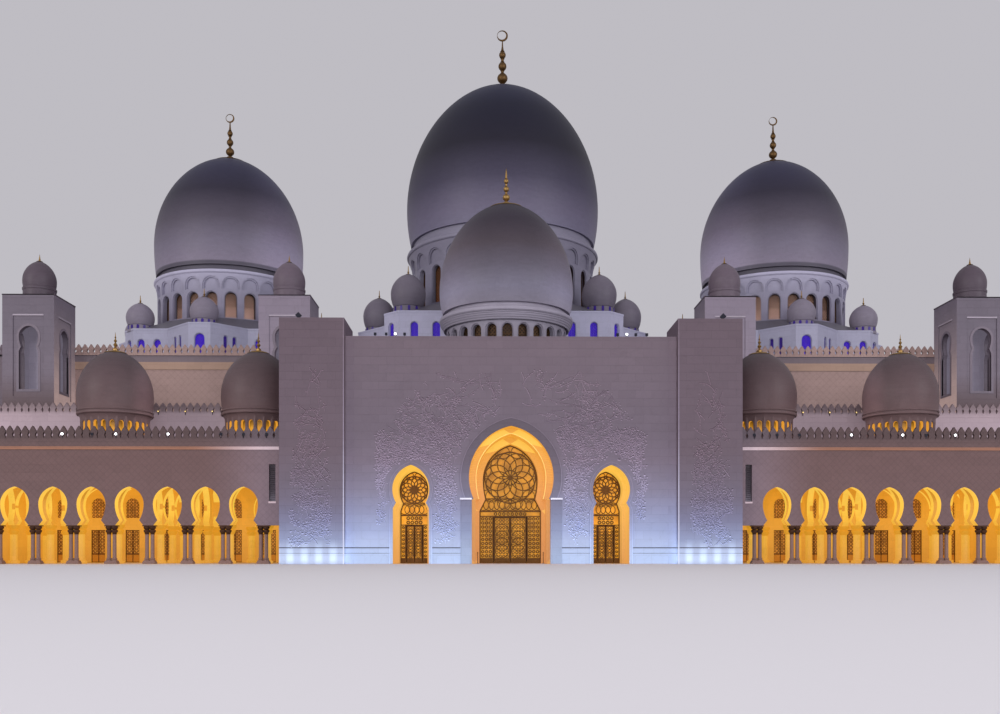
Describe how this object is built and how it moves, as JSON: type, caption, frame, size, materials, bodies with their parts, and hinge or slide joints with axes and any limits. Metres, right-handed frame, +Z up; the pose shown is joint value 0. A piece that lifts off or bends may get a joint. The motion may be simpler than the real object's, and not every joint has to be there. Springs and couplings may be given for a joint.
{
  "type": "mosque building, 1:10 scale model",
  "caption": "White marble mosque with great domes, an arched portal with opening doors, arcades of paired columns and domed towers; 1:10 scale model.",
  "frame": {"origin": "centre of the footprint at ground level", "axes": "+X to the right seen from the front, +Y to the back, +Z up; the portal faces -Y"},
  "size_m": [13.44, 10.66, 9.1796],
  "materials": {
    "marble": "honed white marble",
    "gold": "gilded, satin",
    "lattice": "amber glass behind gilt lattice"
  },
  "bodies": {
    "building": {"arcade_arches_left": "marble", "arcade_arches_right": "marble", "arcade_dome_left_1": "marble", "arcade_dome_left_2": "marble", "arcade_dome_right_1": "marble", "arcade_dome_right_2": "marble", "arcade_roof_left": "marble", "arcade_roof_right": "marble", "arcade_upper_wall_left": "marble", "arcade_upper_wall_right": "marble", "front_dome": "marble", "front_drum": "marble", "front_finial": "gold", "hall_back_wall": "marble", "hall_front_wall_centre": "marble", "hall_front_wall_left": "marble", "hall_front_wall_right": "marble", "hall_roof": "marble", "hall_side_wall_left": "marble", "hall_side_wall_right": "marble", "left_dome": "marble", "left_drum": "marble", "left_finial": "gold", "left_podium": "marble", "main_dome": "marble", "main_drum": "marble", "main_finial": "gold", "main_podium": "marble", "main_screen": "lattice", "portal_pier_left": "marble", "portal_pier_right": "marble", "portal_post_inner_left": "marble", "portal_post_inner_right": "marble", "portal_post_outer_left": "marble", "portal_post_outer_right": "marble", "portal_upper_wall": "marble", "right_dome": "marble", "right_drum": "marble", "right_finial": "gold", "right_podium": "marble", "side_screen_left": "lattice", "side_screen_right": "lattice", "terrace_roof_left": "marble", "terrace_roof_right": "marble", "terrace_wall_left": "marble", "terrace_wall_right": "marble", "tower_inner_left": "marble", "tower_inner_right": "marble", "tower_outer_left": "marble", "tower_outer_right": "marble", "vestibule": "marble"},
    "main_door_left": {"main_door_left": "lattice"},
    "main_door_right": {"main_door_right": "lattice"},
    "side_door_left_a": {"side_door_left_a": "lattice"},
    "side_door_left_b": {"side_door_left_b": "lattice"},
    "side_door_right_a": {"side_door_right_a": "lattice"},
    "side_door_right_b": {"side_door_right_b": "lattice"}
  },
  "joints": [
    {"name": "main_door_left_hinge", "type": "hinge", "parent": "building", "child": "main_door_left", "pos_m": [-0.177, -4.69, 0], "axis": [0, 0, 1], "range_deg": [0, 90]},
    {"name": "main_door_right_hinge", "type": "hinge", "parent": "building", "child": "main_door_right", "pos_m": [0.177, -4.69, 0], "axis": [0, 0, -1], "range_deg": [0, 90]},
    {"name": "side_door_left_a_hinge", "type": "hinge", "parent": "building", "child": "side_door_left_a", "pos_m": [-1.171, -4.69, 0], "axis": [0, 0, 1], "range_deg": [0, 90]},
    {"name": "side_door_left_b_hinge", "type": "hinge", "parent": "building", "child": "side_door_left_b", "pos_m": [-1.009, -4.69, 0], "axis": [0, 0, -1], "range_deg": [0, 90]},
    {"name": "side_door_right_a_hinge", "type": "hinge", "parent": "building", "child": "side_door_right_a", "pos_m": [1.009, -4.69, 0], "axis": [0, 0, 1], "range_deg": [0, 90]},
    {"name": "side_door_right_b_hinge", "type": "hinge", "parent": "building", "child": "side_door_right_b", "pos_m": [1.171, -4.69, 0], "axis": [0, 0, -1], "range_deg": [0, 90]}
  ]
}
